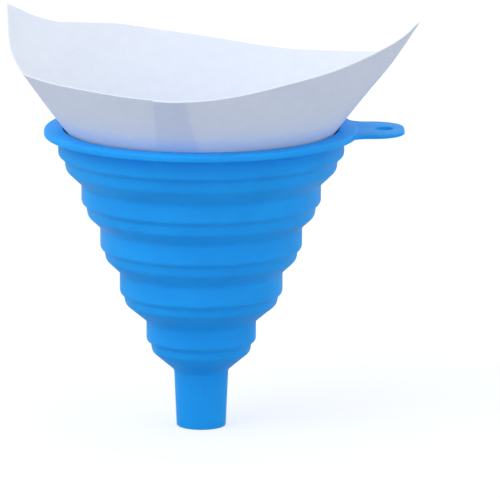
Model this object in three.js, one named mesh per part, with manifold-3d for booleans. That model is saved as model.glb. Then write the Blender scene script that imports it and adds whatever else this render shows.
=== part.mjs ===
// Paint strainer: a paper cone with a mesh tip, standing in a collapsible silicone funnel.
// Millimetres, +Z up. The origin is the centre of the spout's lower end, and +X points to the tab.
import * as THREE from 'three';
import Module from 'manifold-3d';
import { mergeVertices } from 'three/addons/utils/BufferGeometryUtils.js';

const wasm = await Module();
wasm.setup();

// Funnel
const tierRadius = 47.8;        // outer radius of the highest tier
const funnelWall = 1.7;
const flangeOverhang = 4.7;     // how far the flange reaches past the highest tier
const flangeThickness = 2.2;
const flangeEdgeRound = 0.5;
const spoutLength = 19.4;
const spoutTaper = 0.85;        // how much the spout's radius shrinks down to its end
const shoulderDrop = 2.6;       // height over which a tier steps in to its lip
const lipTaper = 0.5;           // how much a lip's radius shrinks down to its slope
const lipRound = 0.9;           // length cut off each side of a lip's lower corner
const shoulderBulge = 0.35;     // 0 is a sharp shoulder, 0.5 a straight bevel
const ringSides = 56;

// Tiers, from the highest to the lowest
const tierHeights = [16.5, 14.6, 15.5, 16.8, 17.0];
const tierInsets = [7.7, 6.25, 6.5, 8.9, 9.3];        // how far the next tier is set in
const shoulderSteps = [2.0, 1.55, 1.35, 1.35, 1.45];  // step in from a tier to its lip
const lipHeights = [3.1, 2.7, 2.3, 2.1, 2.2];
const slopeHeights = [5.0, 3.9, 4.4, 5.9, 6.3];       // height of the slope under a lip

// Hanging tab
const tabReach = 15.35;         // how far it stands out past the flange
const tabHalfWidth = 13.4;
const tabCornerRadius = 10.5;
const tabThickness = 1.3;
const tabRecess = 0.35;         // its top face lies this far under the flange's
const tabRootFillet = 4.5;
const tabHoleRadius = 3;
const tabHoleInset = 6.85;      // from the tab's end to the hole's centre

// Paper cone
const coneHalfAngle = 37.5;     // degrees from the axis
const paperThickness = 0.4;
const seatGap = 0.3;            // between the glued seam and the funnel's mouth
const seamAzimuth = 260.5;      // degrees, the middle of the glued overlap
const seamHalfWidth = 7;        // degrees
const seamEdge = 0.3;           // degrees over which the overlap's edge steps up
const leftCrease = 150.5;       // azimuths of the two creases, in degrees
const rightCrease = 352;
// The rim: azimuth in degrees and slant height from the tip, between the two creases.
const backRim = [[-8, 121], [1, 110.5], [13, 104.5], [35, 99.8], [65, 97.6], [100, 103], [135, 110.5],
  [150.5, 121]];
const frontRim = [[150.5, 121], [161, 113], [172, 106.5], [188, 100], [215, 101.7], [260, 98.7],
  [288, 103.2], [320, 112], [352, 121]];

// Windows at the cone's tip, as slant heights from the tip
const armInnerAtFace = 32;      // low point of the tip window, in the middle of a face
const armInnerAtCrease = 13;
const armWidthAtCrease = 6.5;
const sideWindowFoot = 43;      // lowest edge of a side window
const sideWindowCorner = 2;     // how far its corner by the stem lies above that edge
const stemHalfWidth = 4.7;

// Mesh tip
const meshThickness = 0.4;
const meshGap = 0.3;            // between the mesh and the paper around it
const meshSlant = 50;
const meshCapSlant = 6;         // the closed tip
const meshHem = 4;              // closed band along its upper edge
const meshRings = 5;
const meshGapsPerRing = 24;
const meshThreadShare = 0.36;   // of the spacing

const radians = THREE.MathUtils.degToRad;
const coneSine = Math.sin(radians(coneHalfAngle));
const coneCosine = Math.cos(radians(coneHalfAngle));
const mouthRadius = tierRadius - funnelWall;
const flangeRadius = tierRadius + flangeOverhang;
const flangeUnderside = spoutLength + tierHeights.reduce((sum, height) => sum + height, 0);
const flangeTop = flangeUnderside + flangeThickness;
const seatRadius = mouthRadius - seatGap - paperThickness / coneCosine;
const coneTip = flangeTop - seatRadius * coneCosine / coneSine;

const silicone = new THREE.MeshStandardMaterial({ color: 0x2b8fe6, roughness: 0.5, metalness: 0 });
const paper = new THREE.MeshStandardMaterial({ color: 0xe9ebf2, roughness: 0.9, metalness: 0 });
const nylon = new THREE.MeshStandardMaterial({ color: 0xd9d6cd, roughness: 0.7, metalness: 0 });

// Profile of the tiers and the spout, from the flange's underside down to the spout's end. The
// outside is rounded, and the inside keeps the corners alone.
function tierProfile(rounded) {
  const points = [];
  let radius = tierRadius;
  let top = flangeUnderside;
  tierHeights.forEach((height, k) => {
    const bottom = top - height;
    const lipBottom = bottom + slopeHeights[k];
    const lipTop = lipBottom + lipHeights[k];
    const lipRadius = radius - shoulderSteps[k];
    const nextRadius = radius - tierInsets[k];
    const corner = new THREE.Vector2(lipRadius - lipTaper, lipBottom);
    const slope = new THREE.Vector2(nextRadius, bottom).sub(corner).setLength(lipRound);
    points.push([radius, top], [radius, lipTop + shoulderDrop]);
    if (rounded) {
      points.push([radius - shoulderSteps[k] * shoulderBulge, lipTop + shoulderDrop * shoulderBulge]);
    }
    points.push([lipRadius, lipTop]);
    if (rounded) {
      points.push([corner.x, corner.y + lipRound], [corner.x + slope.x, corner.y + slope.y]);
    } else {
      points.push([corner.x, corner.y]);
    }
    radius = nextRadius;
    top = bottom;
  });
  points.push([radius, top]);
  points.push([radius - spoutTaper, 0]);
  return points.map(([r, z]) => new THREE.Vector2(r, z));
}

// The same line moved towards the axis by a wall's thickness, with mitred corners.
function insetProfile(points, wall) {
  const sides = points.slice(1).map((point, k) => point.clone().sub(points[k]).normalize());
  const inward = (side) => new THREE.Vector2(side.y, -side.x);
  return points.map((point, k) => {
    const before = inward(sides[Math.max(k - 1, 0)]);
    const after = inward(sides[Math.min(k, sides.length - 1)]);
    const middle = before.clone().add(after).normalize();
    return point.clone().add(middle.multiplyScalar(wall / middle.dot(before)));
  });
}

// Turns a closed profile of radius and height about the vertical axis.
function turned(profile) {
  const closed = [...profile, profile[0]];
  return new THREE.LatheGeometry(closed, ringSides).rotateX(Math.PI / 2);
}

function solid(geometry) {
  const bare = geometry.clone();
  bare.deleteAttribute('normal');
  bare.deleteAttribute('uv');
  const welded = mergeVertices(bare, 1e-4);
  return new wasm.Manifold(new wasm.Mesh({
    numProp: 3,
    vertProperties: new Float32Array(welded.attributes.position.array),
    triVerts: new Uint32Array(welded.index.array),
  }));
}

function geometryOf(manifold) {
  const mesh = manifold.getMesh();
  const geometry = new THREE.BufferGeometry();
  geometry.setAttribute('position', new THREE.BufferAttribute(mesh.vertProperties, 3));
  geometry.setIndex(new THREE.BufferAttribute(mesh.triVerts, 1));
  geometry.computeVertexNormals();
  return geometry;
}

// Flange, tiers and spout as one turned wall.
function funnelBody() {
  const outside = tierProfile(true);
  const inside = insetProfile(tierProfile(false), funnelWall);
  inside[0].y = flangeTop;
  inside[inside.length - 1].y = 0;
  const flange = [
    new THREE.Vector2(flangeRadius, flangeUnderside),
    new THREE.Vector2(flangeRadius, flangeTop - flangeEdgeRound),
    new THREE.Vector2(flangeRadius - flangeEdgeRound, flangeTop),
  ];
  return turned([...inside, ...outside.reverse(), ...flange]);
}

// Flat tab with rounded corners, a hanging hole and fillets where it leaves the flange.
function hangingTab() {
  const end = flangeRadius + tabReach;
  const root = Math.sqrt(flangeRadius ** 2 - tabHalfWidth ** 2);
  const filletHalfWidth = tabHalfWidth + tabRootFillet;
  const filletRoot = Math.sqrt(flangeRadius ** 2 - filletHalfWidth ** 2) - flangeEdgeRound;
  const cornerX = end - tabCornerRadius;
  const cornerY = tabHalfWidth - tabCornerRadius;
  const outline = new THREE.Shape();
  outline.moveTo(tierRadius, -tabHalfWidth);
  outline.lineTo(filletRoot, -filletHalfWidth);
  outline.quadraticCurveTo(root, -tabHalfWidth, root + tabRootFillet, -tabHalfWidth);
  outline.absarc(cornerX, -cornerY, tabCornerRadius, -Math.PI / 2, 0, false);
  outline.absarc(cornerX, cornerY, tabCornerRadius, 0, Math.PI / 2, false);
  outline.lineTo(root + tabRootFillet, tabHalfWidth);
  outline.quadraticCurveTo(root, tabHalfWidth, filletRoot, filletHalfWidth);
  outline.lineTo(tierRadius, tabHalfWidth);
  outline.closePath();
  const hole = new THREE.Path();
  hole.absarc(end - tabHoleInset, 0, tabHoleRadius, 0, 2 * Math.PI, true);
  outline.holes.push(hole);
  const plate = new THREE.ExtrudeGeometry(outline, {
    depth: tabThickness,
    bevelEnabled: false,
    curveSegments: 9,
  });
  return plate.translate(0, 0, flangeTop - tabRecess - tabThickness);
}

// The point an inset deep under the paper's outer face, square to it, or the inset cone's own tip.
function conePoint(azimuth, slant, inset) {
  const angle = radians(azimuth);
  const along = Math.max(slant - inset * coneCosine / coneSine, 0);
  const radius = along * coneSine;
  const height = coneTip + inset / coneSine + along * coneCosine;
  return new THREE.Vector3(radius * Math.cos(angle), radius * Math.sin(angle), height);
}

// Closed shell over a ring of columns and a ladder of rows. Cells that are left out become openings
// with walls of their own, and rows that meet in one point close the tip.
function gridShell(columns, rows, outerPoint, innerPoint, isOpen) {
  const positions = [];
  const vertex = [outerPoint, innerPoint].map((point) => Array.from({ length: rows }, (_, row) => (
    Array.from({ length: columns }, (__, column) => {
      const { x, y, z } = point(column, row);
      positions.push(x, y, z);
      return positions.length / 3 - 1;
    }))));
  const triangles = [];
  const quad = (a, b, c, d) => triangles.push(a, b, c, a, c, d);
  const cell = (column, row) => row >= 0 && row < rows - 1 && !isOpen((column + columns) % columns, row);
  for (let row = 0; row < rows - 1; row += 1) {
    for (let column = 0; column < columns; column += 1) {
      if (!cell(column, row)) continue;
      const next = (column + 1) % columns;
      const [outer, inner] = vertex;
      quad(outer[row][column], outer[row][next], outer[row + 1][next], outer[row + 1][column]);
      quad(inner[row][column], inner[row + 1][column], inner[row + 1][next], inner[row][next]);
      if (!cell(column, row - 1)) {
        quad(outer[row][column], inner[row][column], inner[row][next], outer[row][next]);
      }
      if (!cell(column, row + 1)) {
        quad(outer[row + 1][next], inner[row + 1][next], inner[row + 1][column], outer[row + 1][column]);
      }
      if (!cell(column - 1, row)) {
        quad(outer[row + 1][column], inner[row + 1][column], inner[row][column], outer[row][column]);
      }
      if (!cell(column + 1, row)) {
        quad(outer[row][next], inner[row][next], inner[row + 1][next], outer[row + 1][next]);
      }
    }
  }
  const geometry = new THREE.BufferGeometry();
  geometry.setAttribute('position', new THREE.Float32BufferAttribute(positions, 3));
  geometry.setIndex(triangles);
  return welded(geometry);
}

// Joins vertices that share a place and drops the triangles that this leaves without area.
function welded(geometry) {
  const merged = mergeVertices(geometry, 1e-4);
  const index = merged.index.array;
  const kept = [];
  for (let k = 0; k < index.length; k += 3) {
    const [a, b, c] = index.slice(k, k + 3);
    if (a !== b && b !== c && c !== a) kept.push(a, b, c);
  }
  merged.setIndex(kept);
  merged.computeVertexNormals();
  return merged;
}

const wrapped = (azimuth) => ((azimuth % 360) + 360) % 360;
const apart = (a, b) => Math.abs(wrapped(a - b + 180) - 180);

// Slant height of the paper's rim at an azimuth.
function rimSlant(azimuth) {
  const start = wrapped(azimuth) > rightCrease ? wrapped(azimuth) - 360 : wrapped(azimuth);
  const stretch = start < leftCrease ? backRim : frontRim;
  const curve = new THREE.CubicInterpolant(stretch.map((point) => point[0]), stretch.map((point) => point[1]), 1);
  return curve.evaluate(start)[0];
}

// The two faces between the creases: middle azimuth and half their span, in degrees.
const faces = [
  { middle: (leftCrease + rightCrease) / 2, half: (rightCrease - leftCrease) / 2 },
  { middle: (leftCrease + rightCrease - 360) / 2, half: (leftCrease - rightCrease + 360) / 2 },
];
const faceAt = (azimuth) => faces.find(({ middle, half }) => apart(azimuth, middle) <= half + 1e-6);

// Unrolled, a face is flat, so an arm's edge is a straight line between two polar points.
function straightEdge(slantA, angleA, slantB, angleB, angle) {
  return slantA * slantB * Math.sin(angleB - angleA)
    / (slantA * Math.sin(angle - angleA) + slantB * Math.sin(angleB - angle));
}

const stemAngle = Math.asin(stemHalfWidth / sideWindowFoot);
const stemAzimuth = THREE.MathUtils.radToDeg(stemAngle / coneSine);

// Slant heights of the paper's rows at an azimuth: the two edges of an arm, the foot of the side
// windows and the rim.
function paperRows(azimuth) {
  const { middle, half } = faceAt(azimuth);
  const angle = radians(apart(azimuth, middle)) * coneSine;
  const crease = radians(half) * coneSine;
  const corner = sideWindowFoot - sideWindowCorner;
  const outerStart = Math.max(angle, stemAngle);
  const inner = straightEdge(armInnerAtFace, 0, armInnerAtCrease, crease, angle);
  const outer = straightEdge(corner, stemAngle, armInnerAtCrease + armWidthAtCrease, crease, outerStart);
  return [inner, outer, sideWindowFoot, rimSlant(azimuth)];
}

// Azimuths of the paper's columns: an even spacing, plus the places where a feature starts or ends.
function paperColumns() {
  const spacing = 360 / ringSides;
  const seamSides = [-1, 1].flatMap((side) => [-seamEdge, seamEdge].map(
    (step) => seamAzimuth + side * (seamHalfWidth + step / 2)));
  const stems = faces.flatMap(({ middle }) => [-stemAzimuth, 0, stemAzimuth].map((step) => middle + step));
  const features = [...seamSides, ...stems, leftCrease, rightCrease].map(wrapped);
  const even = Array.from({ length: ringSides }, (_, k) => k * spacing);
  const clear = even.filter((azimuth) => features.every((feature) => apart(azimuth, feature) > spacing / 4));
  return [...clear, ...features].sort((a, b) => a - b);
}

// One folded sheet with a glued overlap on the outside of its front face.
function paperCone() {
  const columns = paperColumns();
  const rows = columns.map(paperRows);
  const isWindow = (azimuth) => faces.every(({ middle }) => apart(azimuth, middle) > stemAzimuth);
  const between = (column) => {
    const next = columns[(column + 1) % columns.length];
    return columns[column] + wrapped(next - columns[column]) / 2;
  };
  const overlap = (column) => (apart(columns[column], seamAzimuth) < seamHalfWidth ? paperThickness : 0);
  return gridShell(
    columns.length,
    rows[0].length,
    (column, row) => conePoint(columns[column], rows[column][row], -overlap(column)),
    (column, row) => conePoint(columns[column], rows[column][row], paperThickness),
    (column, row) => row === 1 && isWindow(between(column)),
  );
}

// Coarse weave: rings of gaps between a closed tip and a hem.
function meshTip() {
  const outerInset = paperThickness + meshGap;
  const innerInset = outerInset + meshThickness;
  const ringHeight = (meshSlant - meshHem - meshCapSlant) / meshRings;
  const slants = [0, meshCapSlant];
  for (let ring = 0; ring < meshRings; ring += 1) {
    const start = meshCapSlant + ring * ringHeight;
    slants.push(start + ringHeight * meshThreadShare, start + ringHeight);
  }
  slants.push(meshSlant);
  const spacing = 360 / meshGapsPerRing;
  const azimuth = (column) => spacing * (Math.floor(column / 2) + (column % 2) * meshThreadShare);
  const point = (inset) => (column, row) => conePoint(azimuth(column), slants[row], inset);
  const isOpen = (column, row) => column % 2 === 1 && row % 2 === 0 && row >= 2 && row <= 2 * meshRings;
  return gridShell(2 * meshGapsPerRing, slants.length, point(outerInset), point(innerInset), isOpen);
}

function part(name, geometry, material) {
  const mesh = new THREE.Mesh(geometry, material);
  mesh.name = name;
  return mesh;
}

const strainer = new THREE.Group();
strainer.add(part('funnel', geometryOf(solid(funnelBody()).add(solid(hangingTab()))), silicone));
strainer.add(part('paper_cone', paperCone(), paper));
strainer.add(part('mesh_tip', meshTip(), nylon));

export default strainer;
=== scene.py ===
"""Paint strainer: a paper cone with a nylon mesh tip, standing in a collapsible silicone funnel.

The add-on makes each piece as a surface worked out from a few sizes, in metres, with +Z up and the
origin in the middle of the spout's lower end.
"""

import bpy
import numpy as np
from bpy.props import FloatProperty, FloatVectorProperty, IntProperty, PointerProperty
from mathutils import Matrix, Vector


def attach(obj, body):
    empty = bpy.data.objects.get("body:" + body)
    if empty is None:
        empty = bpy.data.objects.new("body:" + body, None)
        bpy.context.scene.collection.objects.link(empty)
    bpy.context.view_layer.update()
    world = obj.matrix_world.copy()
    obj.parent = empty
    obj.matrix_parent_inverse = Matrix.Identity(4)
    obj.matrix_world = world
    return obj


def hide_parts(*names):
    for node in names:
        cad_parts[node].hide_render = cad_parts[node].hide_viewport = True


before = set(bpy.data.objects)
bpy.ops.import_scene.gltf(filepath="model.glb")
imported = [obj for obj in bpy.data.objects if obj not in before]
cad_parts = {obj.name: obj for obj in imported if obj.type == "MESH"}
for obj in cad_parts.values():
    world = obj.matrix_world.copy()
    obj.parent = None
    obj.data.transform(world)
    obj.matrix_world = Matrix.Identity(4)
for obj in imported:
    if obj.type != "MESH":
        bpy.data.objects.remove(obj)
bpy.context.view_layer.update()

bl_info = {
    "name": "Paint strainer",
    "version": (1, 0, 0),
    "blender": (4, 5, 0),
    "location": "View3D > Sidebar > Strainer",
    "description": "Makes a paper cone paint strainer in a collapsible silicone funnel",
    "category": "Add Mesh",
}

MM = 0.001
BODY = "root"


def mm(*values):
    """Lengths given in millimetres, in metres."""
    return tuple(value * MM for value in values)


def linear(code):
    """Linear red, green, blue and alpha of an sRGB hex colour."""
    channels = np.array([int(code[k:k + 2], 16) for k in (0, 2, 4)]) / 255
    low = channels / 12.92
    high = ((channels + 0.055) / 1.055) ** 2.4
    return (*np.where(channels <= 0.04045, low, high).tolist(), 1.0)


def length(name, description, millimetres):
    """A length that the user can change, given in millimetres."""
    return FloatProperty(name=name, description=description, default=millimetres * MM, unit="LENGTH")


def lengths(name, description, *millimetres):
    """A row of lengths that the user can change, given in millimetres."""
    return FloatVectorProperty(
        name=name, description=description, size=len(millimetres), default=mm(*millimetres),
        unit="LENGTH")


def angle(name, description, degrees):
    """An angle that the user can change, given in degrees."""
    return FloatProperty(
        name=name, description=description, default=float(np.radians(degrees)), subtype="ANGLE")


def colour(name, description, code):
    """A colour that the user can change, given as an sRGB hex value."""
    return FloatVectorProperty(
        name=name, description=description, size=4, default=linear(code), min=0, max=1,
        subtype="COLOR")


def share(name, description, value):
    """A number from 0 to 1 that the user can change."""
    return FloatProperty(
        name=name, description=description, default=value, min=0, max=1, subtype="FACTOR")


class FunnelSettings(bpy.types.PropertyGroup):
    """Sizes and colour of the silicone funnel."""

    tier_radius: length("Tier radius", "Outer radius of the highest tier", 47.8)
    wall: length("Wall", "Thickness of the moulded wall", 1.7)
    tier_heights: lengths(
        "Tier heights", "Height of each tier, from the top", 16.5, 14.6, 15.5, 16.8, 17.0)
    tier_insets: lengths("Tier insets", "How far the next tier is set in", 7.7, 6.25, 6.5, 8.9, 9.3)
    shoulders: lengths("Shoulders", "Step in from each tier to its lip", 2.0, 1.55, 1.35, 1.35, 1.45)
    lips: lengths("Lips", "Height of each tier's lip", 3.1, 2.7, 2.3, 2.1, 2.2)
    slopes: lengths("Slopes", "Height of the slope under each lip", 5.0, 3.9, 4.4, 5.9, 6.3)
    shoulder_drop: length("Shoulder drop", "Height over which a tier steps in to its lip", 2.6)
    lip_taper: length("Lip taper", "How much a lip's radius shrinks down to its slope", 0.5)
    fold_round: length("Fold rounding", "Length cut off each side of a fold's corner", 1.0)
    flange_overhang: length("Flange overhang", "How far the flange reaches past the tier", 4.7)
    flange_thickness: length("Flange thickness", "Height of the flange's edge", 2.2)
    flange_round: length(
        "Flange rounding", "Length cut off each side of the flange's upper corner", 1.0)
    under_round: length("Underside rounding", "The same on its lower corner", 0.5)
    mouth_round: length("Mouth rounding", "The same on the mouth's corner", 0.25)
    spout_round: length("Spout rounding", "The same on the spout's end", 0.4)
    spout_length: length("Spout length", "Height of the spout", 19.4)
    spout_taper: length("Spout taper", "How much the spout's radius shrinks down to its end", 0.85)
    colour: colour("Silicone", "Colour of the moulded silicone", "1EA5FE")
    segments: IntProperty(name="Segments", description="Sides of each turned ring", default=224, min=24)


class TabSettings(bpy.types.PropertyGroup):
    """Sizes of the funnel's hanging tab."""

    reach: length("Reach", "How far the tab stands out past the flange", 15.35)
    half_width: length("Half width", "Half of the tab's width", 13.4)
    corner_radius: length("Corner radius", "Radius of the tab's two corners", 10.5)
    thickness: length("Thickness", "Thickness of the tab", 1.3)
    recess: length("Recess", "How far the tab's top lies under the flange's", 0.35)
    root_fillet: length("Root fillet", "Size of the fillets where the tab leaves the flange", 4.5)
    hole_radius: length("Hole radius", "Radius of the hanging hole", 3.0)
    hole_inset: length("Hole inset", "From the tab's end to the middle of the hole", 6.85)
    edge_round: length("Edge rounding", "Radius along the tab's edges", 0.4)


class PaperSettings(bpy.types.PropertyGroup):
    """Sizes and colours of the paper cone."""

    half_angle: angle("Half angle", "Angle between the cone's side and its axis", 37.5)
    thickness: length("Thickness", "Thickness of one layer of paper", 0.4)
    seat_gap: length("Seat gap", "Between the glued seam and the funnel's mouth", 0.1)
    seam_azimuth: angle("Seam", "Direction of the middle of the glued overlap", 260.3)
    seam_half_width: length("Seam half width", "Half of the overlap's width at the funnel's mouth", 6.9)
    seam_narrowing: share("Seam narrowing", "Loss of half width for each length up the seam", 0.068)
    left_crease: angle("Left crease", "Direction of the left crease", 152.3)
    right_crease: angle("Right crease", "Direction of the right crease", 352)
    arm_inner_at_face: length("Tip window", "Slant height of the tip window in a face's middle", 32)
    arm_inner_at_crease: length("Tip window at crease", "Its slant height at a crease", 13)
    arm_width_at_crease: length("Arm width", "Width of the arms at a crease", 6.5)
    side_window_foot: length("Side window edge", "Slant height of a side window's far edge", 43)
    side_window_corner: length("Side window corner", "Height of a side window along the stem", 2)
    stem_half_width: length("Stem half width", "Half of the stem's width", 4.7)
    ripple: length("Ripple", "Height of the waves in the free part of the paper", 0.5)
    ear_curl: length("Ear curl", "How far the tip of the right ear bends in", 1.7)
    colour: colour("Paper", "Colour of one layer of paper", "DEE5F3")
    # Painted shade: the overlap's darker colour stands in for the light that two layers of paper hold
    # back.
    doubled_shade_colour: colour("Doubled paper", "Colour where two layers overlap", "DAE2F2")
    columns: IntProperty(
        name="Columns", description="Columns of faces round the cone", default=480, min=48)


class MeshSettings(bpy.types.PropertyGroup):
    """Sizes and colour of the woven tip."""

    gap: length("Gap", "Between the mesh and the paper around it", 0.3)
    slant: length("Slant height", "From the tip to the mesh's upper edge", 50)
    tip_slant: length("Tip", "Slant height at which the threads end at the tip", 1.5)
    overlap: length("Overlap", "How far each edge of the sheet reaches past where they meet", 0.7)
    pitch: length("Pitch", "Spacing of the threads", 0.9)
    thread: length("Thread", "Thickness of a thread", 0.26)
    colour: colour("Nylon", "Colour of the nylon threads", "E8E6DE")


class StageSettings(bpy.types.PropertyGroup):
    """The camera, the lamps and the floor."""

    camera_distance: length("Camera distance", "From the funnel's axis to the camera", 1600)
    camera_height: length("Camera height", "Height of the camera over the floor", 392.77)
    camera_dip: angle("Camera dip", "How far the camera looks down", 11.732)
    lens: FloatProperty(name="Lens", description="Focal length in millimetres", default=350.7)
    axis_column: FloatProperty(
        name="Axis column", description="Column of the 500 pixel wide photo where the axis stands",
        default=201.2, subtype="PIXEL")
    floor_colour: colour("Floor", "Colour of the floor in the light", "B2B6BF")
    floor_glow: share("Floor glow", "Light added to the floor where it is seen, to make it white", 0.58)
    key_power: FloatProperty(
        name="Key lamp", description="Power of the key lamp", default=7.0, unit="POWER")
    fill_power: FloatProperty(
        name="Fill lamp", description="Power of the fill lamp", default=1.2, unit="POWER")
    sky: share("Sky", "Strength of the even light from all round", 0.96)


# The rim of the paper between the two creases: direction in degrees and slant height in millimetres.
BACK_RIM = (
    (-8, 121), (1, 112), (6, 108), (14, 104.3), (26, 101.3), (42, 98.8), (62, 97.5), (84, 99.7),
    (100, 103), (116, 107), (128, 108.8), (138, 111), (144, 114.2), (152.3, 121))
FRONT_RIM = (
    (152.3, 121), (161, 113), (172, 106.5), (188, 100.5), (209, 101.6), (228, 101.2), (246, 99.8),
    (264, 99.4), (281, 101.1), (300, 106.3), (320, 112), (352, 121))
# Shares of the shoulder's drop, over the lip, at which the tier's wall ends and the lip starts.
SHOULDER_START = 0.66
SHOULDER_END = 0.3
# Points on each rounded corner of the funnel's line, and the most that it takes of a side.
ROUNDING_STEPS = 6
MOST_OF_SIDE = 0.499
# Points on the tab's fillet, on its corner, all round it, and on a quarter of its rounded edge.
FILLET_POINTS = 24
CORNER_POINTS = 40
TAB_COLUMNS = 320
EDGE_POINTS = 6
# Rows of faces in the paper's arms, beside its side windows, and above them.
ARM_ROWS, WINDOW_ROWS, SHEET_ROWS = 6, 6, 40
# Rounding of a side window's corners, as a share of the window's height at the stem.
WINDOW_ROUNDING = 0.45
# Slack for two angles that should be the same.
TINY_ANGLE = 1e-9
# The angle that a step at the overlap's edge takes, and the one in which the layer comes down.
SEAM_EDGE = np.radians(0.15)
SEAM_REACH = np.radians(30)
# Slant under the funnel's mouth where columns start to follow the overlap, and the slant it takes.
SEAM_FADE = mm(26, 14)
# Slant over the funnel's mouth where the paper's waves start, and the slant in which they grow.
WAVE_START, WAVE_GROWTH = mm(4, 30)
# Waves round the cone and their phase, for the long and the short ones. The short ones also turn by
# a radian in a slant of their own, and have a share of the long ones' height.
LONG_WAVES, LONG_PHASE = 3, 0.7
SHORT_WAVES, SHORT_PHASE = 7, 2.1
SHORT_SLANT = 9 * MM
SHORT_SHARE = 0.6
# Angle over which the paper stands out at a crease, and over which the right ear bends in, and the
# slant heights between which it does.
CREASE_WIDTH = np.radians(2.5)
EAR_WIDTH = np.radians(16)
EAR_SLANTS = mm(98, 124)
# Rise and fall of a thread at its crossings, as a share of its radius.
THREAD_RISE = 0.8
# In metres: side and place of each soft lamp, half of the floor's side, and how far the camera sees.
KEY_SIDE, KEY_PLACE = 1.0, (-1.0, -0.7, 1.25)
FILL_SIDE, FILL_PLACE = 1.2, (1.3, -0.7, 0.7)
FLOOR_HALF = 6.0
VIEW_END = 20.0
# Width of the photo in pixels, and of the camera's sensor in millimetres.
PHOTO_WIDTH = 500
SENSOR_WIDTH = 36
# Faces that meet at more than this angle keep a sharp edge between them.
SMOOTH_ANGLE = np.radians(35)


def new_object(name, points, faces):
    """Puts points and faces into a mesh object in the scene."""
    mesh = bpy.data.meshes.new(name)
    mesh.from_pydata(points.reshape(-1, 3).tolist(), [], faces.tolist())
    made = bpy.data.objects.new(name, mesh)
    bpy.context.scene.collection.objects.link(made)
    return made


def new_piece(name, points, faces, slot, node_name, material):
    """A mesh object that has a material and stands for a node of the frame."""
    piece = new_object(name, points, faces)
    piece.data.materials.append(material)
    finish_shading(piece.data)
    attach(piece, BODY)
    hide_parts(node_name)
    return piece


def finish_shading(mesh):
    """Smooth faces, with a sharp edge wherever two of them meet at more than the smooth angle."""
    mesh.shade_smooth()
    mesh.set_sharp_from_angle(angle=SMOOTH_ANGLE)


def ring_faces(rows, columns):
    """Quads of a grid of rows by columns of points that closes both ways."""
    number = np.arange(rows * columns).reshape(rows, columns)
    right = np.roll(number, -1, axis=1)
    corners = [number, right, np.roll(right, -1, axis=0), np.roll(number, -1, axis=0)]
    return np.stack(corners, axis=-1).reshape(-1, 4)


def rounded_loop(corners, cuts):
    """A closed line through corners, each replaced by a quadratic curve.

    The curve starts on one side of the corner and ends on the other, at the cut's length from it or
    close to the middle of a shorter side, and the corner itself is its control point.
    """
    before = np.roll(corners, 1, axis=0) - corners
    after = np.roll(corners, -1, axis=0) - corners
    sides = np.linalg.norm([before, after], axis=2)
    reach = np.minimum(cuts / sides, MOST_OF_SIDE)[..., None]
    start = (corners + before * reach[0])[:, None]
    end = (corners + after * reach[1])[:, None]
    t = np.linspace(0, 1, ROUNDING_STEPS)[None, :, None]
    curve = (1 - t) ** 2 * start + 2 * t * (1 - t) * corners[:, None] + t ** 2 * end
    return curve.reshape(-1, 2)


def inset_line(corners, wall):
    """The same line moved towards the axis by a wall: each corner goes along its mitre."""
    side = np.diff(corners, axis=0)
    side /= np.linalg.norm(side, axis=1)[:, None]
    inward = np.stack([side[:, 1], -side[:, 0]], axis=1)
    before = np.vstack([inward[:1], inward])
    after = np.vstack([inward, inward[-1:]])
    return corners + wall * (before + after) / (1 + np.sum(before * after, axis=1))[:, None]


def mouth_radius(sizes):
    """Radius of the funnel's mouth: that of the highest tier, less its wall."""
    return sizes.tier_radius - sizes.wall


def underside(sizes):
    """Height of the flange's underside: the spout and the tiers on top of each other."""
    return sizes.spout_length + sum(sizes.tier_heights)


def tier_corners(sizes):
    """Radius and height of the outside's corners, from the flange's underside to the spout's end.

    Each tier has the top of its wall, the shoulder, and the upper and lower end of its lip, and a
    straight slope leads from there to the next tier.
    """
    radius = sizes.tier_radius - np.cumsum([0, *sizes.tier_insets])
    top = underside(sizes) - np.cumsum([0, *sizes.tier_heights])
    lip_bottom = top[1:] + np.array(sizes.slopes)
    lip_top = lip_bottom + np.array(sizes.lips)
    lip_radius = radius[:-1] - np.array(sizes.shoulders)
    tiers = np.array([
        [radius[:-1], top[:-1]],
        [radius[:-1], lip_top + SHOULDER_START * sizes.shoulder_drop],
        [lip_radius, lip_top + SHOULDER_END * sizes.shoulder_drop],
        [lip_radius - sizes.lip_taper, lip_bottom],
    ])
    spout = [[radius[-1], top[-1]], [radius[-1] - sizes.spout_taper, 0]]
    return np.vstack([tiers.transpose(2, 0, 1).reshape(-1, 2), spout])


def funnel_surface(sizes):
    """Points and faces of the funnel: a closed line of radius and height turned about the axis."""
    outside = tier_corners(sizes)
    inside = inset_line(outside, sizes.wall)
    flange_top = underside(sizes) + sizes.flange_thickness
    inside[0, 1] = flange_top
    inside[-1, 1] = 0
    flange_radius = sizes.tier_radius + sizes.flange_overhang
    flange = [[flange_radius, underside(sizes)], [flange_radius, flange_top]]
    corners = np.vstack([outside[::-1], flange, inside])
    cuts = np.full(len(corners), sizes.fold_round)
    cuts[len(outside):len(outside) + 3] = sizes.under_round, sizes.flange_round, sizes.mouth_round
    cuts[[0, -1]] = sizes.spout_round
    line = rounded_loop(corners, cuts)
    turn = np.linspace(0, 2 * np.pi, sizes.segments, endpoint=False)
    radius, height = line[:, :1], line[:, 1:]
    points = np.stack([radius * np.cos(turn), radius * np.sin(turn), height + 0 * turn], axis=-1)
    return points, ring_faces(*points.shape[:2])


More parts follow.
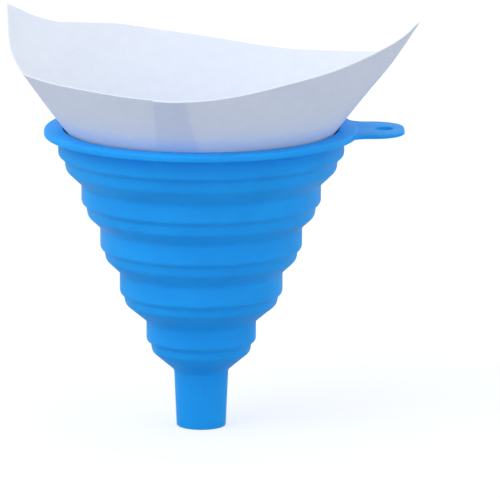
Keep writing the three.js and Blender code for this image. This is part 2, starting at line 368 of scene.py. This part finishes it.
def tab_outline(funnel, tab, count):
    """Points evenly spaced along the tab's edge, from the middle of its hidden root and round.

    The edge is a quadratic fillet, a straight side and a quarter of a circle, mirrored to the other
    side, and it closes inside the flange.
    """
    flange_radius = funnel.tier_radius + funnel.flange_overhang
    end = flange_radius + tab.reach
    root = np.sqrt(flange_radius ** 2 - tab.half_width ** 2)
    fillet_half_width = tab.half_width + tab.root_fillet
    fillet_root = np.sqrt(flange_radius ** 2 - fillet_half_width ** 2) - funnel.flange_round
    t = np.linspace(0, 1, FILLET_POINTS)[:, None]
    start = np.array([fillet_root, -fillet_half_width])
    corner = np.array([root, -tab.half_width])
    stop = np.array([root + tab.root_fillet, -tab.half_width])
    fillet = (1 - t) ** 2 * start + 2 * t * (1 - t) * corner + t ** 2 * stop
    turn = np.linspace(-np.pi / 2, 0, CORNER_POINTS)
    middle = [end - tab.corner_radius, tab.corner_radius - tab.half_width]
    arc = middle + tab.corner_radius * np.stack([np.cos(turn), np.sin(turn)], axis=1)
    hidden = np.array([[funnel.tier_radius, 0], [funnel.tier_radius, -fillet_half_width]])
    half = np.vstack([hidden, fillet, arc])
    line = np.vstack([half, half[::-1] * [1, -1]])
    along = np.concatenate([[0], np.cumsum(np.linalg.norm(np.diff(line, axis=0), axis=1))])
    even = np.linspace(0, along[-1], count, endpoint=False)
    return np.stack([np.interp(even, along, line[:, 0]), np.interp(even, along, line[:, 1])], axis=1)


def tab_surface(funnel, tab):
    """Points and faces of the tab: a ring from its hole out to its edge.

    At each place round the ring the section is a closed line. It runs along the underside, up the
    rounded edge, back along the top and down the hole's rounded edge.
    """
    outline = tab_outline(funnel, tab, TAB_COLUMNS)
    centre = np.array([funnel.tier_radius + funnel.flange_overhang + tab.reach - tab.hole_inset, 0])
    towards = outline - centre
    span = np.linalg.norm(towards, axis=1) - tab.hole_radius
    towards /= np.linalg.norm(towards, axis=1)[:, None]
    quarter = np.linspace(0, np.pi / 2, EDGE_POINTS)
    turn = np.concatenate([quarter - np.pi / 2, quarter])
    straight = (tab.thickness / 2 - tab.edge_round) * np.repeat([-1, 1], EDGE_POINTS)
    lift = straight + tab.edge_round * np.sin(turn)
    bulge = tab.edge_round * (np.cos(turn) - 1)
    outer = span[None] + bulge[:, None]
    inner = np.zeros_like(span)[None] - bulge[::-1, None]
    distance = tab.hole_radius + np.vstack([outer, inner])
    heights = np.concatenate([lift, lift[::-1]])
    middle = underside(funnel) + funnel.flange_thickness - tab.recess - tab.thickness / 2
    flat = centre + distance[..., None] * towards
    height = np.broadcast_to((middle + heights)[:, None, None], (*distance.shape, 1))
    return np.concatenate([flat, height], axis=-1), ring_faces(*distance.shape)


def joined(piece, other):
    """Unites another mesh object with a piece, and takes the other one away."""
    union = piece.modifiers.new("Tab", "BOOLEAN")
    union.operation = "UNION"
    union.solver = "MANIFOLD"
    union.object = other
    evaluated = piece.evaluated_get(bpy.context.evaluated_depsgraph_get())
    mesh = bpy.data.meshes.new_from_object(evaluated)
    piece.modifiers.clear()
    piece.data = mesh
    bpy.data.objects.remove(other)
    finish_shading(mesh)


def cone_points(azimuth, slant, inset, paper, funnel):
    """Points an inset deep under the paper's outer face, square to it.

    The radius is the slant height times the sine of the half angle, and the height is the slant
    height times its cosine, over the tip. The tip lies where the glued seam just clears the
    funnel's mouth.
    """
    sine, cosine = np.sin(paper.half_angle), np.cos(paper.half_angle)
    seat_radius = mouth_radius(funnel) - paper.seat_gap - paper.thickness / cosine
    tip = underside(funnel) + funnel.flange_thickness - seat_radius * cosine / sine
    along = np.maximum(slant - inset * cosine / sine, 0)
    radius = along * sine
    height = tip + inset / sine + along * cosine
    return np.stack([radius * np.cos(azimuth), radius * np.sin(azimuth), height], axis=-1)


def smooth_line(points, at):
    """A cubic Hermite curve through points, whose slopes are those of its neighbours."""
    degrees, millimetres = np.array(points).T
    x, y = np.radians(degrees), millimetres * MM
    slope = np.gradient(y, x)
    k = np.clip(np.searchsorted(x, at) - 1, 0, len(x) - 2)
    width = x[k + 1] - x[k]
    t = (at - x[k]) / width
    return (
        (2 * t ** 3 - 3 * t ** 2 + 1) * y[k] + (t ** 3 - 2 * t ** 2 + t) * width * slope[k]
        + (3 * t ** 2 - 2 * t ** 3) * y[k + 1] + (t ** 3 - t ** 2) * width * slope[k + 1])


def rim_slant(azimuth, paper):
    """Slant height of the rim: the back curve up to the left crease, and the front one beyond."""
    back = np.where(azimuth > paper.right_crease, azimuth - 2 * np.pi, azimuth)
    front = smooth_line(FRONT_RIM, azimuth)
    return np.where(back < paper.left_crease, smooth_line(BACK_RIM, back), front)


def eased(t):
    """0 below 0, 1 above 1, and a smooth step between."""
    t = np.clip(t, 0, 1)
    return t * t * (3 - 2 * t)


def turned_from(azimuth, middle):
    """Signed angle from a direction, between minus and plus half a turn."""
    return (azimuth - middle + np.pi) % (2 * np.pi) - np.pi


def straight_slant(first, second, at):
    """Slant height, at an angle, of the straight line between two polar points.

    Each point is a slant height and an angle. The line's slant height is the product of theirs times
    the sine of the angle between them, over the sum of each one times the sine of the angle from
    the other.
    """
    far = first[0] * second[0] * np.sin(second[1] - first[1])
    return far / (first[0] * np.sin(at - first[1]) + second[0] * np.sin(second[1] - at))


def paper_grid(paper, funnel):
    """Directions of the paper's columns, slant heights of its rows, and which cells are solid.

    The columns are even, with extra ones where a feature starts or ends. From the tip up, the rows
    follow the arms' inner edge, their outer edge, the far edge of the side windows and the rim.
    Unrolled, a face is flat, so an arm's edge is a straight line between two polar points.
    """
    sine = np.sin(paper.half_angle)
    creases = np.array([paper.left_crease, paper.right_crease])
    half = np.array([creases[1] - creases[0], 2 * np.pi - creases[1] + creases[0]]) / 2
    middles = np.array([creases.mean(), creases.mean() - np.pi]) % (2 * np.pi)
    stem = np.arcsin(paper.stem_half_width / paper.side_window_foot)
    window = np.array([-1, 1]) * stem / sine
    seam = paper.seam_azimuth + seam_angle(paper, funnel) * np.array([-1, 1])
    seam_steps = (seam[:, None] + SEAM_EDGE * np.array([-0.5, 0.5])).ravel()
    windows = (middles[:, None] + window).ravel() % (2 * np.pi)
    features = np.concatenate([windows, creases, seam_steps])
    even = np.linspace(0, 2 * np.pi, paper.columns, endpoint=False)
    clear = np.abs(turned_from(even[:, None], features)).min(axis=1) > np.pi / paper.columns / 2
    azimuth = np.sort(np.concatenate([even[clear], features]))
    from_middle = np.abs(turned_from(azimuth[:, None], middles))
    face = from_middle.argmin(axis=1)
    across = from_middle.min(axis=1) * sine
    crease = half[face] * sine
    corner = paper.side_window_foot - paper.side_window_corner
    arm = paper.arm_inner_at_crease + paper.arm_width_at_crease
    inner = straight_slant((paper.arm_inner_at_face, 0), (paper.arm_inner_at_crease, crease), across)
    outer = straight_slant((corner, stem), (arm, crease), np.maximum(across, stem))
    radius = WINDOW_ROUNDING * paper.side_window_corner
    near = np.clip(1 - (across - stem) * paper.side_window_foot / radius, 0, 1)
    rounding = radius * (1 - np.sqrt(1 - near ** 2)) * (across >= stem - TINY_ANGLE)
    foot = paper.side_window_foot - rounding
    edges = (inner, outer + rounding, foot, rim_slant(azimuth, paper))
    counts = (ARM_ROWS, WINDOW_ROWS, SHEET_ROWS)
    rows = [inner[None]]
    for low, high, count in zip(edges, edges[1:], counts):
        rows.append(low + (high - low) * np.linspace(0, 1, count + 1)[1:, None])
    solid = np.ones((sum(counts), len(azimuth)), bool)
    between = azimuth + turned_from(np.roll(azimuth, -1), azimuth) / 2
    open_column = np.abs(turned_from(between[:, None], middles)).min(axis=1) * sine > stem
    solid[ARM_ROWS:ARM_ROWS + WINDOW_ROWS, open_column] = False
    return azimuth, np.vstack(rows), solid


def seam_angle(paper, funnel, above_mouth=0.0):
    """Half of the overlap's angle at a slant height over the mouth's, from its narrowing width."""
    radius = mouth_radius(funnel) + above_mouth * np.sin(paper.half_angle)
    return (paper.seam_half_width - paper.seam_narrowing * above_mouth) / radius


def along_seam(offset, above_mouth, paper, funnel):
    """Columns moved sideways so that they follow the overlap's two edges.

    Inside the overlap an offset from its middle grows by the same factor as its edge moves, and
    outside it the move dies out over a wider stretch. Near the windows nothing is moved.
    """
    even = seam_angle(paper, funnel)
    followed = eased((above_mouth + SEAM_FADE[0]) / SEAM_FADE[1])
    moved = even + (seam_angle(paper, funnel, above_mouth) - even) * followed
    size = np.abs(offset)
    outside = moved + (size - even) * (SEAM_REACH - moved) / (SEAM_REACH - even)
    outside = np.where(size < SEAM_REACH, outside, size)
    return np.sign(offset) * np.where(size < even, size * moved / even, outside)


def paper_surface(paper, funnel):
    """Points, faces and doubled share of the paper: a closed shell between two rows of cones.

    At the glued seam the outer layer ends with a step on the left, and the inner layer with a step
    on the right, from where both come down to the cone by a smooth step. Above the funnel's mouth
    the sheet has long and short sine waves, stands out by a bell curve along each crease, and bends
    in by a wider one at the right ear's tip.
    """
    azimuth, slant, solid = paper_grid(paper, funnel)
    mouth = mouth_radius(funnel) / np.sin(paper.half_angle)
    offset = np.broadcast_to(turned_from(azimuth, paper.seam_azimuth), slant.shape)
    half = seam_angle(paper, funnel)
    glued = slant > paper.side_window_foot + paper.side_window_corner
    left, right = glued & (offset > -half), glued & (offset > half)
    lifted = paper.thickness * (1 - eased((offset - half) / SEAM_REACH))
    outer_lift = np.where(left, lifted, 0)
    inner_lift = np.where(right, lifted, 0)
    azimuth = paper.seam_azimuth + along_seam(offset, slant - mouth, paper, funnel)
    free = eased((slant - mouth - WAVE_START) / WAVE_GROWTH)
    long_wave = np.sin(LONG_WAVES * azimuth + LONG_PHASE)
    short_wave = SHORT_SHARE * np.sin(SHORT_WAVES * azimuth + SHORT_PHASE + slant / SHORT_SLANT)
    creases = np.array([paper.left_crease, paper.right_crease])
    kink = np.exp(-(turned_from(azimuth[..., None], creases) / CREASE_WIDTH) ** 2).sum(axis=-1)
    ear = np.exp(-(turned_from(azimuth, paper.right_crease) / EAR_WIDTH) ** 2)
    curl = paper.ear_curl * ear * eased((slant - EAR_SLANTS[0]) / (EAR_SLANTS[1] - EAR_SLANTS[0]))
    ripple = paper.ripple * free * (long_wave + short_wave + kink) - curl
    outer = cone_points(azimuth, slant, -outer_lift - ripple, paper, funnel)
    inner = cone_points(azimuth, slant, paper.thickness - inner_lift - ripple, paper, funnel)
    doubled = (left & ~right).astype(float)
    points, faces, used = without_loose(np.stack([outer, inner]), shell_faces(solid))
    return points, faces, np.tile(doubled.ravel(), 2)[used]


def shell_faces(solid):
    """Quads of a shell between two grids that close round the columns, from a grid of solid cells.

    Each solid cell has a face on both grids, and a wall towards each neighbour that isn't solid.
    """
    rows, columns = solid.shape
    number = np.arange((rows + 1) * columns).reshape(rows + 1, columns)
    a, d = number[:-1], number[1:]
    b, c = np.roll(a, -1, axis=1), np.roll(d, -1, axis=1)
    deep = number.size
    edge = np.zeros((1, columns), bool)
    under, over = np.vstack([edge, solid[:-1]]), np.vstack([solid[1:], edge])
    left, right = np.roll(solid, 1, axis=1), np.roll(solid, -1, axis=1)
    sides = (
        (solid, (a, b, c, d)),
        (solid, (a + deep, d + deep, c + deep, b + deep)),
        (solid & ~under, (a, a + deep, b + deep, b)),
        (solid & ~over, (c, c + deep, d + deep, d)),
        (solid & ~left, (d, d + deep, a + deep, a)),
        (solid & ~right, (b, b + deep, c + deep, c)),
    )
    return np.concatenate([np.stack(corners, axis=-1)[chosen] for chosen, corners in sides])


def without_loose(points, faces):
    """Leaves out the points that no face uses, and says which ones stay."""
    used, index = np.unique(faces, return_inverse=True)
    return points.reshape(-1, 3)[used], index.reshape(faces.shape), used


def woven_threads(mesh, paper, funnel, family):
    """Points and faces of one set of threads.

    Unrolled, the cone is a sector. Straight lines cross it a pitch apart, with a ring of four
    points at each crossing, raised and lowered in turn, and a line stops a little past the sector's
    edge, where the rolled sheet overlaps. Rolled up, a point's direction is its polar angle over
    the sine of the half angle.
    """
    sine = np.sin(paper.half_angle)
    count = int(mesh.slant / mesh.pitch) + 1
    step = (np.arange(-count, count + 1) + 0.5) * mesh.pitch
    line, along = np.meshgrid(step, step, indexing="ij")
    parity = np.indices(line.shape).sum(axis=0) % 2 * 2 - 1
    radius = mesh.thread / 2
    turn = np.arange(4) * np.pi / 2
    across = line[..., None] + radius * np.cos(turn)
    depth = radius * np.sin(turn) + THREAD_RISE * radius * (parity * family)[..., None]
    straight = along[..., None] + 0 * turn
    x, y = (across, straight) if family > 0 else (straight, across)
    middle_x, middle_y = (line, along) if family > 0 else (along, line)
    slant = np.hypot(middle_x, middle_y)
    polar = np.arctan2(middle_y, middle_x)
    edge = np.pi * sine + mesh.overlap / slant
    kept = (slant < mesh.slant) & (slant > mesh.tip_slant) & (np.abs(polar) < edge)
    turned = np.arctan2(y, x)
    beyond = np.abs(turned - polar[..., None]) > np.pi
    turned = np.where(beyond, turned - 2 * np.pi * np.sign(turned), turned)
    azimuth = turned / sine + paper.seam_azimuth + np.pi
    inset = paper.thickness + mesh.gap + mesh.thread + depth
    points = cone_points(azimuth, np.hypot(x, y), inset, paper, funnel)
    number = np.arange(points.size // 3).reshape(points.shape[:-1])
    joint = kept[:, :-1] & kept[:, 1:]
    here, there = number[:, :-1], number[:, 1:]
    corners = [here, np.roll(here, -1, axis=-1), np.roll(there, -1, axis=-1), there]
    sides = np.stack(corners, axis=-1)[joint]
    starts = joint & ~np.pad(joint[:, :-1], ((0, 0), (1, 0)))
    ends = joint & ~np.pad(joint[:, 1:], ((0, 0), (0, 1)))
    faces = np.concatenate([sides.reshape(-1, 4), here[starts][:, ::-1], there[ends]])
    if family > 0:
        faces = faces[:, ::-1]
    return without_loose(points, faces)[:2]


def add_node(tree, kind, settings=(), inputs=()):
    """Adds a node with its settings. An input given a socket is linked to it, and any other is set."""
    node = tree.nodes.new(kind)
    for name, value in dict(settings).items():
        setattr(node, name, value)
    for name, value in dict(inputs).items():
        if isinstance(value, bpy.types.NodeSocket):
            tree.links.new(value, node.inputs[name])
        else:
            node.inputs[name].default_value = value
    return node


def new_material(name):
    """A material with an empty node tree."""
    material = bpy.data.materials.new(name)
    material.use_nodes = True
    material.node_tree.nodes.clear()
    return material, material.node_tree


def grain(tree, size, detail=3.0, roughness=0.55, stretch=(1, 1, 1)):
    """Noise of a real size in metres on Object coordinates, from 0 to 1."""
    place = add_node(tree, "ShaderNodeTexCoord").outputs["Object"]
    mapped = add_node(tree, "ShaderNodeMapping", inputs={"Vector": place, "Scale": stretch})
    noise = add_node(tree, "ShaderNodeTexNoise", inputs={
        "Vector": mapped.outputs["Vector"], "Scale": 1 / size, "Detail": detail,
        "Roughness": roughness})
    return noise.outputs["Fac"]


def ranged(tree, value, low, high):
    """A value that runs from 0.3 to 0.7, as noise does, stretched to run from low to high."""
    return add_node(tree, "ShaderNodeMapRange", inputs={
        "Value": value, "From Min": 0.3, "From Max": 0.7, "To Min": low,
        "To Max": high}).outputs["Result"]


def tinted(tree, base, amount):
    """A colour, from a socket or as three numbers, made lighter or darker by a factor."""
    return add_node(tree, "ShaderNodeVectorMath", {"operation": "SCALE"}, {
        0: base, "Scale": amount}).outputs["Vector"]


def bumped(tree, height, distance, strength):
    """A normal raised by a height of 0 to 1 over a real distance in metres."""
    return add_node(tree, "ShaderNodeBump", inputs={
        "Height": height, "Distance": distance, "Strength": strength}).outputs["Normal"]


def silicone_material(colour_value):
    """Moulded silicone rubber: satin, slightly cloudy, and lit a little from within."""
    material, tree = new_material("moulded_silicone")
    # Silicone lets light in for a few millimetres, so shaded folds stay saturated. The mould's
    # blasted finish gives soft, wide highlights. Its grit of about 0.1 mm is drawn at 0.35 mm, as
    # coarse as it needs to show. Handling leaves patches of about 15 mm that are a little glossier.
    cloud = ranged(tree, grain(tree, 12 * MM), 0.95, 1.05)
    patches = ranged(tree, grain(tree, 15 * MM, 2.0), 0.5, 0.6)
    finish = bumped(tree, grain(tree, 0.35 * MM, 2.0), 0.02 * MM, 0.5)
    shader = add_node(tree, "ShaderNodeBsdfPrincipled", {"subsurface_method": "RANDOM_WALK"}, {
        "Base Color": tinted(tree, colour_value[:3], cloud), "Roughness": patches, "Normal": finish,
        "IOR": 1.41, "Specular IOR Level": 0.2, "Subsurface Weight": 0.4,
        "Subsurface Radius": (0.15, 0.5, 1.0), "Subsurface Scale": 2.0 * MM})
    add_node(tree, "ShaderNodeOutputMaterial", inputs={"Surface": shader.outputs[0]})
    return material


def paper_material(single, doubled_shade):
    """Uncoated strainer paper: matt, with a faint cloud of fibres, and painted shade, a darker colour,
    where it is doubled.
    """
    material, tree = new_material("uncoated_paper")
    # The fibres show as specks of about half a millimetre and the sheet's formation as clouds of about
    # 5 mm. Less light passes through two layers than through one, so the overlap gets a darker base
    # colour: painted shade.
    layers = add_node(tree, "ShaderNodeAttribute", {"attribute_name": "doubled"}).outputs["Fac"]
    # The doubled share mixes in the darker colour along the overlap, as painted shade.
    base = add_node(tree, "ShaderNodeMix", {"data_type": "RGBA"}, {
        "Factor": layers, 6: single, 7: doubled_shade})
    fibres = grain(tree, 0.5 * MM, 4.0, 0.7, (1, 1, 0.45))
    cloud = grain(tree, 5 * MM, 3.0)
    speckled = tinted(tree, base.outputs[2], ranged(tree, fibres, 0.975, 1.015))
    shaded = tinted(tree, speckled, ranged(tree, cloud, 0.98, 1.01))
    coarse = bumped(tree, cloud, 0.05 * MM, 0.4)
    fine = add_node(tree, "ShaderNodeBump", inputs={
        "Height": fibres, "Distance": 0.03 * MM, "Strength": 0.6, "Normal": coarse}).outputs["Normal"]
    shader = add_node(tree, "ShaderNodeBsdfPrincipled", inputs={
        "Base Color": shaded, "Roughness": 0.88, "IOR": 1.45, "Normal": fine,
        "Specular IOR Level": 0.3, "Subsurface Weight": 0.5, "Subsurface Radius": (1, 1, 1),
        "Subsurface Scale": 0.9 * MM})
    add_node(tree, "ShaderNodeOutputMaterial", inputs={"Surface": shader.outputs[0]})
    return material


def nylon_material(colour_value):
    """Extruded nylon thread: off-white, slightly glossy and a little see-through."""
    material, tree = new_material("woven_nylon")
    # Each thread is a smooth drawn filament, so it has a narrow highlight, and the cloth is greyer
    # and yellower than the paper. Its colour varies a little from place to place. Real strainer
    # cloth has its threads about 0.2 mm apart, and they are drawn as coarse as they need to show.
    cloud = ranged(tree, grain(tree, 4 * MM), 0.93, 1.04)
    shader = add_node(tree, "ShaderNodeBsdfPrincipled", inputs={
        "Base Color": tinted(tree, colour_value[:3], cloud), "Roughness": 0.38, "IOR": 1.53,
        "Subsurface Weight": 0.3, "Subsurface Radius": (1, 0.95, 0.85), "Subsurface Scale": 0.3 * MM})
    add_node(tree, "ShaderNodeOutputMaterial", inputs={"Surface": shader.outputs[0]})
    return material


def seen_directly(tree):
    """1 for what the camera, a reflection or a clear material sees, and 0 for light on its way."""
    rays = add_node(tree, "ShaderNodeLightPath").outputs
    glossy = add_node(tree, "ShaderNodeMath", {"operation": "MAXIMUM"}, {
        0: rays["Is Camera Ray"], 1: rays["Is Glossy Ray"]}).outputs[0]
    return add_node(tree, "ShaderNodeMath", {"operation": "MAXIMUM"}, {
        0: glossy, 1: rays["Is Transmission Ray"]}).outputs[0]


def floor_material(colour_value, glow):
    """Matt painted board that looks white in the light and keeps the object's shadow."""
    material, tree = new_material("matt_white_board")
    # The board adds light only where it is looked at, so it doesn't brighten the object.
    speckle = ranged(tree, grain(tree, 2 * MM), 0.995, 1.005)
    board = tinted(tree, colour_value[:3], speckle)
    diffuse = add_node(tree, "ShaderNodeBsdfDiffuse", inputs={"Color": board})
    strength = add_node(tree, "ShaderNodeMath", {"operation": "MULTIPLY"}, {
        0: seen_directly(tree), 1: glow})
    light = add_node(tree, "ShaderNodeEmission", inputs={"Strength": strength.outputs[0]})
    both = add_node(tree, "ShaderNodeAddShader", inputs={0: diffuse.outputs[0], 1: light.outputs[0]})
    add_node(tree, "ShaderNodeOutputMaterial", inputs={"Surface": both.outputs[0]})
    return material


class STRAINER_OT_funnel(bpy.types.Operator):
    """Make the silicone funnel with its hanging tab"""

    bl_idname = "strainer.funnel"
    bl_label = "Funnel"

    def execute(self, context):
        """Turns the funnel's wall and unites the tab with it."""
        scene = context.scene
        sizes = scene.strainer_funnel
        material = silicone_material(sizes.colour)
        funnel = new_piece("silicone_funnel", *funnel_surface(sizes), "silicone", "funnel", material)
        joined(funnel, new_object("tab", *tab_surface(sizes, scene.strainer_tab)))
        return {"FINISHED"}


class STRAINER_OT_paper(bpy.types.Operator):
    """Make the folded paper cone with its windows and glued seam"""

    bl_idname = "strainer.paper"
    bl_label = "Paper cone"

    def execute(self, context):
        """Makes the cone's shell and marks where the paper is doubled."""
        scene = context.scene
        paper = scene.strainer_paper
        points, faces, doubled = paper_surface(paper, scene.strainer_funnel)
        # The second colour is painted shade for the doubled overlap.
        material = paper_material(paper.colour, paper.doubled_shade_colour)
        piece = new_piece("strainer_paper", points, faces, "paper", "paper_cone", material)
        # The doubled share tells the material where to paint the overlap's shade.
        attribute = piece.data.attributes.new("doubled", "FLOAT", "POINT")
        attribute.data.foreach_set("value", doubled)
        return {"FINISHED"}


class STRAINER_OT_mesh(bpy.types.Operator):
    """Make the woven nylon tip"""

    bl_idname = "strainer.mesh"
    bl_label = "Mesh tip"

    def execute(self, context):
        """Weaves the two sets of threads into one piece."""
        scene = context.scene
        settings = (scene.strainer_mesh, scene.strainer_paper, scene.strainer_funnel)
        warp, warp_faces = woven_threads(*settings, 1)
        weft, weft_faces = woven_threads(*settings, -1)
        faces = np.vstack([warp_faces, weft_faces + len(warp)])
        material = nylon_material(scene.strainer_mesh.colour)
        new_piece("nylon_mesh", np.vstack([warp, weft]), faces, "nylon_mesh", "mesh_tip", material)
        return {"FINISHED"}


class STRAINER_OT_stage(bpy.types.Operator):
    """Set up the floor, the light and the camera"""

    bl_idname = "strainer.stage"
    bl_label = "Stage"

    def execute(self, context):
        """Adds the floor, two soft lamps, the even light and the camera."""
        scene = context.scene
        stage = scene.strainer_stage
        add_floor(stage)
        add_lamp(scene, "key_lamp", stage.key_power, KEY_SIDE, KEY_PLACE)
        add_lamp(scene, "fill_lamp", stage.fill_power, FILL_SIDE, FILL_PLACE)
        add_sky(scene, stage.sky)
        add_camera(scene, stage)
        scene.view_settings.view_transform = "Standard"
        return {"FINISHED"}


def add_floor(stage):
    """A flat square at the spout's end."""
    corners = FLOOR_HALF * np.array([(-1, -1, 0), (1, -1, 0), (1, 1, 0), (-1, 1, 0)])
    floor = new_object("floor", corners, np.array([(0, 1, 2, 3)]))
    floor.data.materials.append(floor_material(stage.floor_colour, stage.floor_glow))


def aimed(place, target):
    """Rotation that turns an object's -Z axis from its place to a target."""
    return (Vector(target) - Vector(place)).to_track_quat("-Z", "Y").to_euler()


def add_lamp(scene, name, power, size, place):
    """A square soft lamp that looks at the middle of the funnel."""
    light = bpy.data.lights.new(name, "AREA")
    light.energy = power
    light.size = size
    lamp = bpy.data.objects.new(name, light)
    lamp.location = place
    lamp.rotation_euler = aimed(place, (0, 0, underside(scene.strainer_funnel) / 2))
    scene.collection.objects.link(lamp)


def add_sky(scene, strength):
    """Even light from all round, which looks white where it is seen."""
    world = bpy.data.worlds.new("studio")
    world.use_nodes = True
    tree = world.node_tree
    tree.nodes.clear()
    seen = seen_directly(tree)
    level = add_node(tree, "ShaderNodeMapRange", inputs={
        "Value": seen, "To Min": strength, "To Max": 1.0})
    background = add_node(tree, "ShaderNodeBackground", inputs={
        "Color": (1, 1, 1, 1), "Strength": level.outputs["Result"]})
    add_node(tree, "ShaderNodeOutputWorld", inputs={"Surface": background.outputs[0]})
    scene.world = world


def add_camera(scene, stage):
    """The photo's view: level with its sides, looking down a little, and moved off the axis."""
    lens = bpy.data.cameras.new("camera")
    lens.sensor_width = SENSOR_WIDTH
    lens.lens = stage.lens
    lens.shift_x = 0.5 - stage.axis_column / PHOTO_WIDTH
    lens.clip_end = VIEW_END
    camera = bpy.data.objects.new("camera", lens)
    camera.location = (0, -stage.camera_distance, stage.camera_height)
    camera.rotation_euler = (np.pi / 2 - stage.camera_dip, 0, 0)
    scene.collection.objects.link(camera)
    scene.camera = camera


class STRAINER_PT_panel(bpy.types.Panel):
    """Lists the operators and the sizes that can be changed"""

    bl_idname = "STRAINER_PT_panel"
    bl_label = "Paint strainer"
    bl_space_type = "VIEW_3D"
    bl_region_type = "UI"
    bl_category = "Strainer"

    def draw(self, context):
        """Draws each operator with its own settings under it."""
        for operator, groups in PANEL_ROWS:
            self.layout.operator(operator)
            for group in groups:
                settings = getattr(context.scene, group)
                for name in settings.bl_rna.properties.keys():
                    if name not in {"rna_type", "name"}:
                        self.layout.prop(settings, name)


PANEL_ROWS = (
    ("strainer.funnel", ("strainer_funnel", "strainer_tab")),
    ("strainer.paper", ("strainer_paper",)),
    ("strainer.mesh", ("strainer_mesh",)),
    ("strainer.stage", ("strainer_stage",)),
)
SETTINGS = {
    "strainer_funnel": FunnelSettings,
    "strainer_tab": TabSettings,
    "strainer_paper": PaperSettings,
    "strainer_mesh": MeshSettings,
    "strainer_stage": StageSettings,
}
OPERATORS = (STRAINER_OT_funnel, STRAINER_OT_paper, STRAINER_OT_mesh, STRAINER_OT_stage)


def register():
    """Registers the settings, the operators and the panel."""
    for cls in (*SETTINGS.values(), *OPERATORS, STRAINER_PT_panel):
        bpy.utils.register_class(cls)
    for name, group in SETTINGS.items():
        setattr(bpy.types.Scene, name, PointerProperty(type=group))


def unregister():
    """Takes them away again."""
    for name in SETTINGS:
        delattr(bpy.types.Scene, name)
    for cls in (STRAINER_PT_panel, *reversed(OPERATORS), *reversed(SETTINGS.values())):
        bpy.utils.unregister_class(cls)


def main():
    """Makes every piece and the stage."""
    register()
    bpy.ops.strainer.funnel()
    bpy.ops.strainer.paper()
    bpy.ops.strainer.mesh()
    bpy.ops.strainer.stage()


if __name__ == "__main__":
    main()
